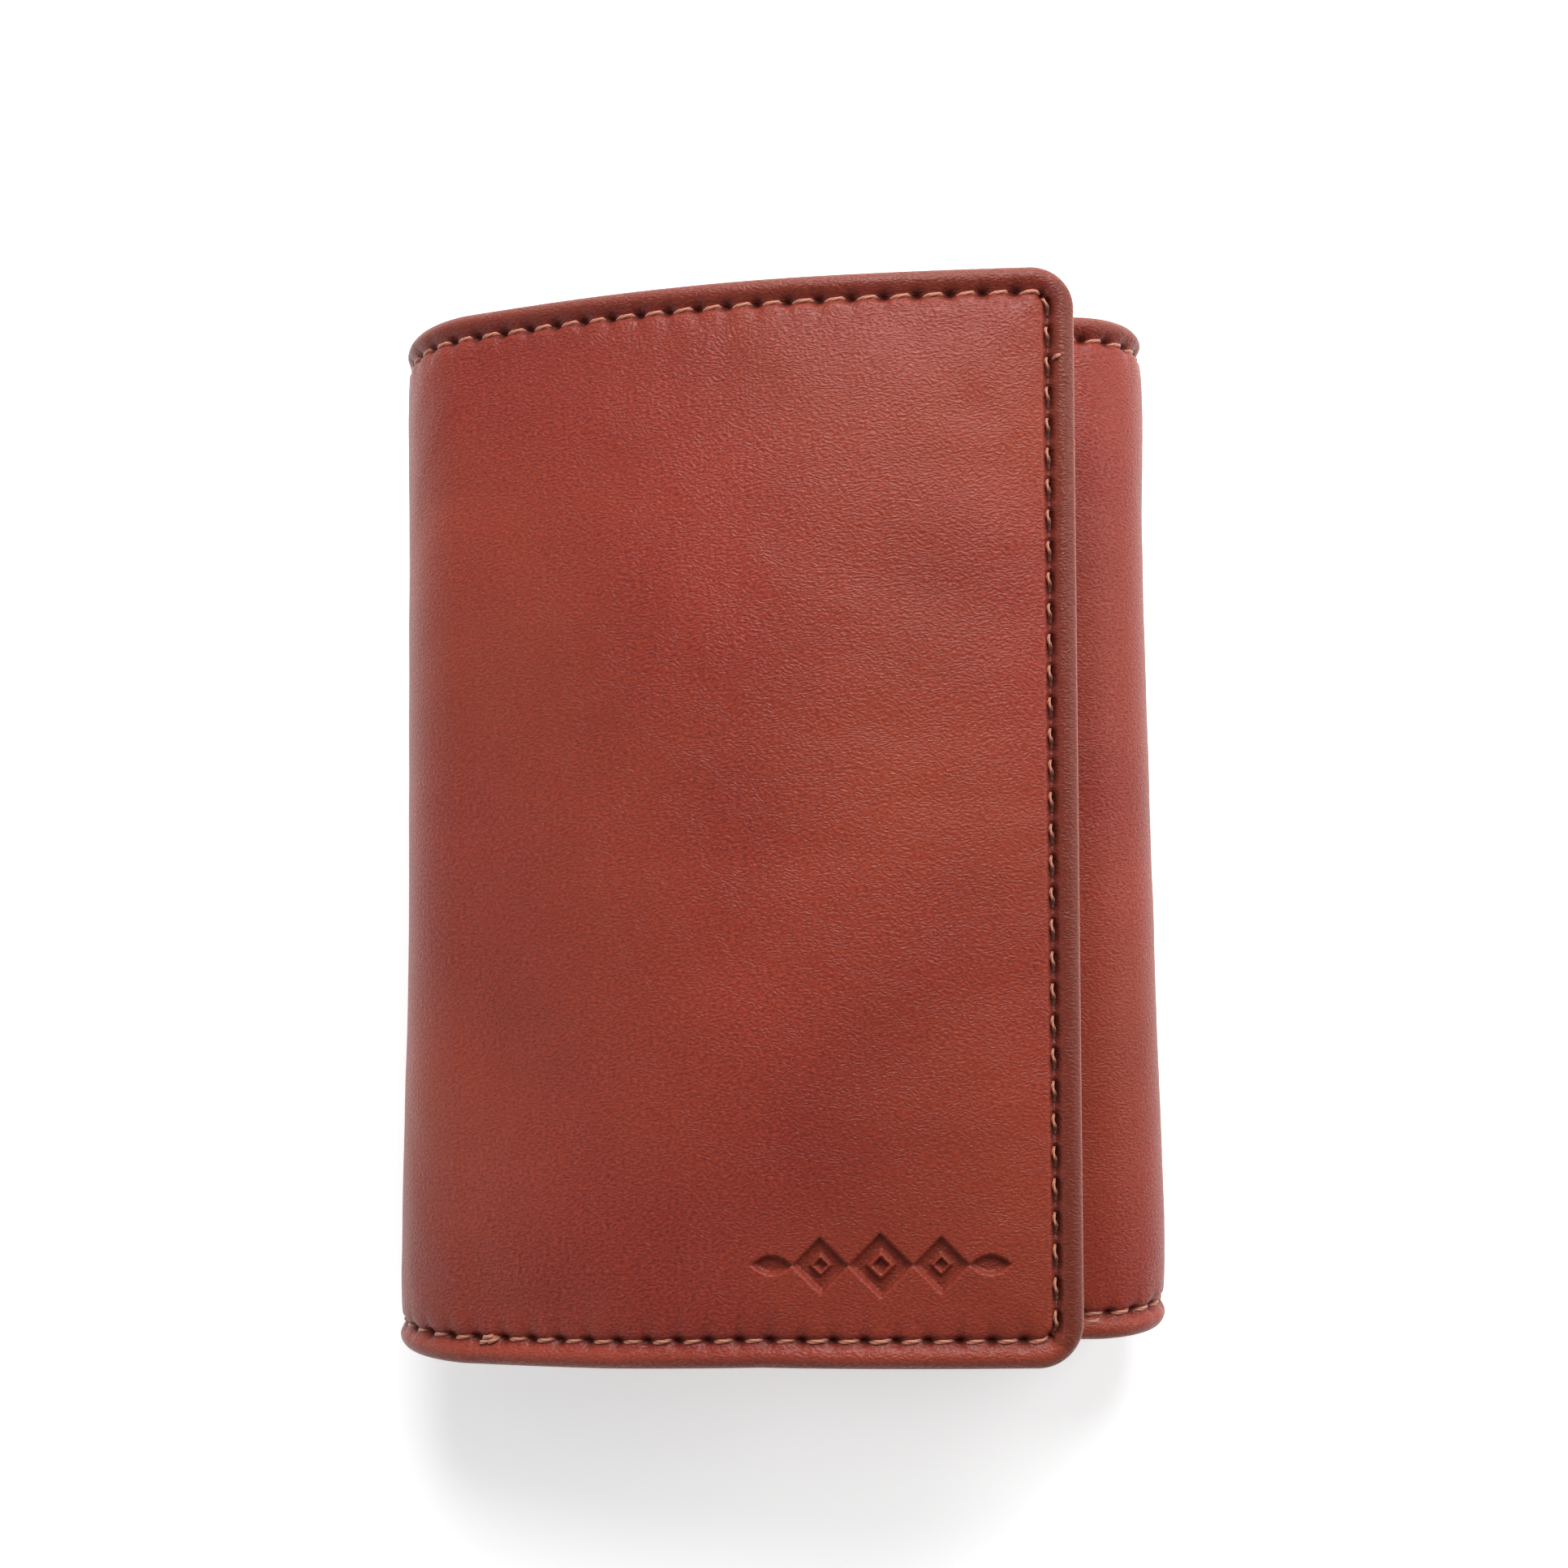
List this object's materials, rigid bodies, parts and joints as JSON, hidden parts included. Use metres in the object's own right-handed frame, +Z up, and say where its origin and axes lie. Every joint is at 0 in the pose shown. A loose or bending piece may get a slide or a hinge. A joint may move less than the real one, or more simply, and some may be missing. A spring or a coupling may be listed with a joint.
{
  "type": "trifold wallet",
  "caption": "Padded leather trifold wallet, closed, with stitched flaps on two round folds, card pockets, a card window and a full-length note compartment.",
  "frame": {"origin": "centre of the closed wallet's outline, on the surface that its back panel lies on", "axes": "+Z up through the closed wallet's thickness, from the back panel to the outer flap; +Y towards the edge where notes go in, along the folds; +X from the left fold, where the outer flap turns over, to the right fold"},
  "size_m": [0.0826, 0.108, 0.0335],
  "materials": {
    "leather": "chestnut brown pebbled leather, satin",
    "lining": "dark brown woven lining, matt",
    "thread": "copper-brown waxed thread, satin",
    "fleece": "dark brown fleece padding, matt",
    "film": "clear flexible film, glossy"
  },
  "bodies": {
    "centre": {"centre_divider": "lining", "centre_leather": "leather", "centre_padding": "fleece", "centre_pocket_lower": "leather", "centre_pocket_middle": "leather", "centre_pocket_upper": "leather", "centre_thread_bottom": "thread", "centre_thread_top": "thread"},
    "left_fold": {"left_fold_divider": "lining", "left_fold_leather": "leather", "left_fold_thread_bottom": "thread", "left_fold_thread_top": "thread"},
    "outer_flap": {"outer_flap_divider": "lining", "outer_flap_leather": "leather", "outer_flap_padding": "fleece", "outer_flap_thread": "thread", "window_film": "film", "window_frame": "leather"},
    "right_fold": {"right_fold_divider": "lining", "right_fold_leather": "leather", "right_fold_thread_bottom": "thread", "right_fold_thread_top": "thread"},
    "inner_flap": {"inner_flap_divider": "lining", "inner_flap_leather": "leather", "inner_flap_padding": "fleece", "inner_flap_pocket_lower": "leather", "inner_flap_pocket_upper": "leather", "inner_flap_thread": "thread"}
  },
  "joints": [
    {"name": "left_fold_lower", "type": "hinge", "parent": "centre", "child": "left_fold", "pos_m": [-0.03857, 0, 0.00268], "axis": [0, -1, 0], "range_deg": [0, 90]},
    {"name": "left_fold_upper", "type": "hinge", "parent": "left_fold", "child": "outer_flap", "pos_m": [-0.03956, 0, 0.02035], "axis": [0, -1, 0], "range_deg": [0, 72]},
    {"name": "right_fold_lower", "type": "hinge", "parent": "centre", "child": "right_fold", "pos_m": [0.03943, 0, 0.00182], "axis": [0, 1, 0], "range_deg": [0, 86]},
    {"name": "right_fold_upper", "type": "hinge", "parent": "right_fold", "child": "inner_flap", "pos_m": [0.03943, 0, 0.01518], "axis": [0, 1, 0], "range_deg": [0, 86]}
  ],
  "couplings": [
    {"joint": "left_fold_upper", "follows": "left_fold_lower", "ratio": 0.8},
    {"joint": "right_fold_lower", "follows": "left_fold_lower", "ratio": 0.95556},
    {"joint": "right_fold_upper", "follows": "left_fold_lower", "ratio": 0.95556}
  ]
}
